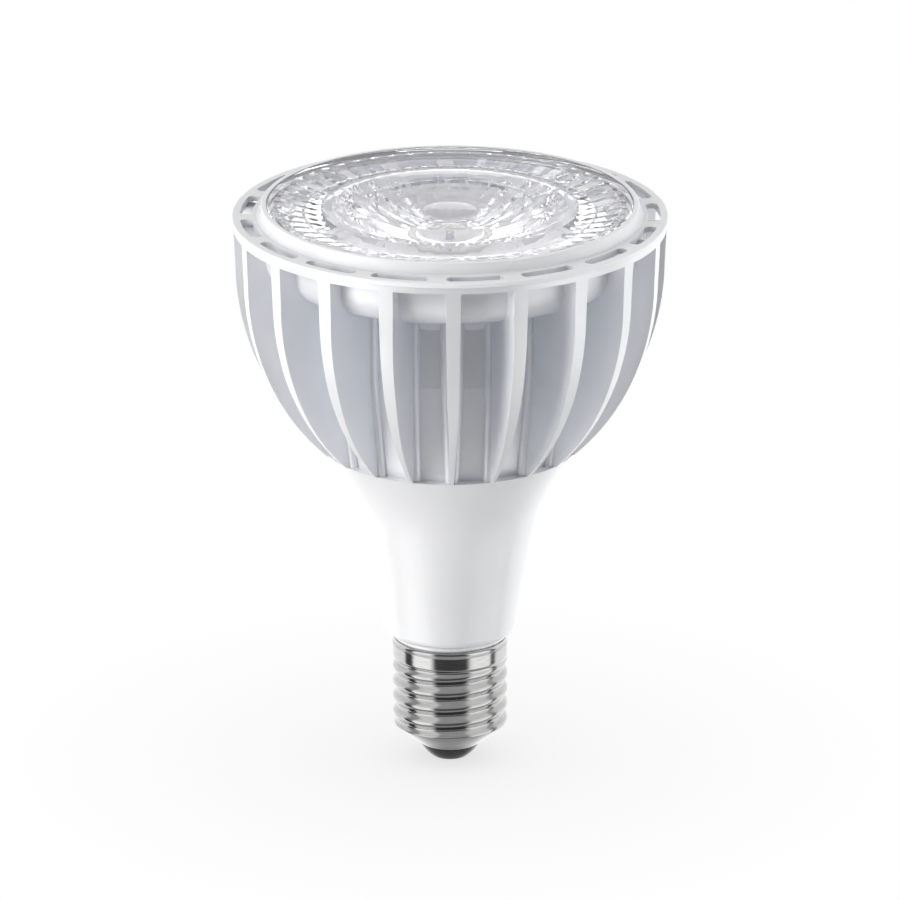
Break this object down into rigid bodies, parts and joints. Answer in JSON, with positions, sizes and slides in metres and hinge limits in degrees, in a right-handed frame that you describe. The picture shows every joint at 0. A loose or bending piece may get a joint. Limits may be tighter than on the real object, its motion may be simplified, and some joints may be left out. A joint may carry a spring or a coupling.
{
  "type": "par spotlight bulb",
  "caption": "Reflector spot lamp with a finned cast bowl, slotted front ring, clear optical lens, long plastic neck and screw cap.",
  "frame": {"origin": "tip of the centre contact, on the lamp's axis", "axes": "+Z along the axis from the screw cap to the lens, the way the light leaves; -Y is the side the picture shows"},
  "size_m": [0.098, 0.098, 0.1323],
  "materials": {
    "white_paint": "satin white powder coat on a die casting",
    "white_ring": "satin white",
    "clear_lens": "clear moulded, polished faces",
    "neck_white": "white, slightly glossy",
    "nickel": "bright nickel plate",
    "black_glass": "gloss black",
    "contact_metal": "plain tinned contact",
    "holder_white": "white",
    "source_plate": "bright",
    "phosphor": "yellow silicone",
    "pad_grey": "soft grey",
    "steel": "zinc plated",
    "board_green": "solder mask",
    "ferrite": "matt",
    "winding_tape": "yellow tape",
    "can_black": "sleeved can",
    "film_red": "dipped",
    "choke_green": "shrink sleeve",
    "resistor_blue": "lacquer",
    "varistor_blue": "epoxy dip",
    "chip_black": "moulded",
    "lead_red": "insulated lead",
    "lead_black": "insulated lead",
    "lead_brown": "insulated lead",
    "lead_blue": "insulated lead"
  },
  "bodies": {
    "root": {"front_ring": "white_ring", "lens": "clear_lens", "heatsink": "white_paint", "neck_housing": "neck_white", "cap_shell": "nickel", "cap_insulator": "black_glass", "centre_contact": "contact_metal", "cob_holder": "holder_white", "cob_substrate": "source_plate", "cob_phosphor": "phosphor", "thermal_pad": "pad_grey", "cob_holder_screws": "steel", "neck_screws": "steel", "driver_board": "board_green", "transformer_core": "ferrite", "transformer_winding": "winding_tape", "input_capacitor": "can_black", "output_capacitor": "can_black", "film_capacitor": "film_red", "line_choke": "choke_green", "fuse_resistor": "resistor_blue", "varistor": "varistor_blue", "rectifier": "chip_black", "control_chip": "chip_black", "led_lead_red": "lead_red", "led_lead_black": "lead_black", "mains_lead_live": "lead_brown", "mains_lead_neutral": "lead_blue"}
  },
  "joints": []
}
